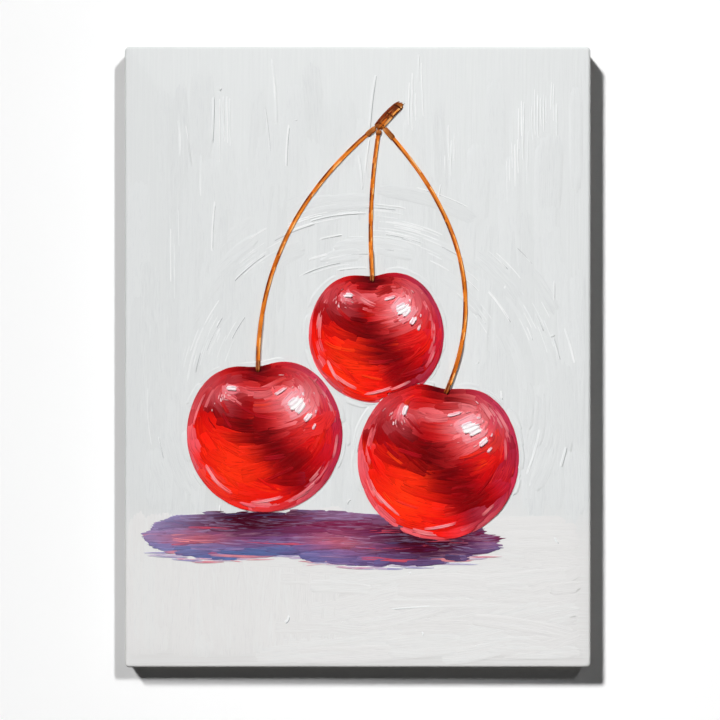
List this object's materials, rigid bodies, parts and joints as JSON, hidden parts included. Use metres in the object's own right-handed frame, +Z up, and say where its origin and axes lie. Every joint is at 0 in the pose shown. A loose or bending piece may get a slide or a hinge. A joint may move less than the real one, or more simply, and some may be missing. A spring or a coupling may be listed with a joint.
{
  "type": "stretched canvas painting",
  "caption": "Hand-painted still life of red cherries on a stretched cotton canvas, with a keyed pine stretcher and a sawtooth hanger behind it for hanging on a wall nail.",
  "frame": {"origin": "the root of the sawtooth hanger's middle notch, on the hanger's back plane, which is the wall plane", "axes": "+Z up, +X to the right for a viewer of the painted side, +Y towards the wall, so the painted side faces -Y"},
  "size_m": [0.3, 0.0264, 0.4],
  "materials": {
    "pine": "planed and unvarnished",
    "beech": "sawn",
    "canvas_cloth": "primed plain weave",
    "staple_steel": "bright",
    "hanger_steel": "zinc plated",
    "ground_paint": "brushed paint film",
    "shadow_paint": "brushed paint film",
    "red_paint": "thick satin paint",
    "stem_paint": "thick satin paint",
    "light_paint": "thick satin paint"
  },
  "bodies": {
    "root": {"bar_top": "pine", "bar_bottom": "pine", "bar_left": "pine", "bar_right": "pine", "key_1": "beech", "key_2": "beech", "key_3": "beech", "key_4": "beech", "key_5": "beech", "key_6": "beech", "key_7": "beech", "key_8": "beech", "canvas": "canvas_cloth", "staple_1": "staple_steel", "staple_2": "staple_steel", "staple_3": "staple_steel", "staple_4": "staple_steel", "staple_5": "staple_steel", "staple_6": "staple_steel", "staple_7": "staple_steel", "staple_8": "staple_steel", "staple_9": "staple_steel", "staple_10": "staple_steel", "staple_11": "staple_steel", "staple_12": "staple_steel", "staple_13": "staple_steel", "staple_14": "staple_steel", "staple_15": "staple_steel", "staple_16": "staple_steel", "staple_17": "staple_steel", "staple_18": "staple_steel", "staple_19": "staple_steel", "staple_20": "staple_steel", "staple_21": "staple_steel", "staple_22": "staple_steel", "staple_23": "staple_steel", "staple_24": "staple_steel", "hanger": "hanger_steel", "pin_left": "hanger_steel", "pin_right": "hanger_steel", "paint_ground": "ground_paint", "paint_shadow": "shadow_paint", "paint_spur": "stem_paint", "paint_cherry_left": "red_paint", "paint_stem_left": "stem_paint", "paint_glint_left": "light_paint", "paint_cherry_front": "red_paint", "paint_stem_front": "stem_paint", "paint_glint_front": "light_paint", "paint_cherry_middle": "red_paint", "paint_stem_middle": "stem_paint", "paint_glint_middle": "light_paint"}
  },
  "joints": []
}
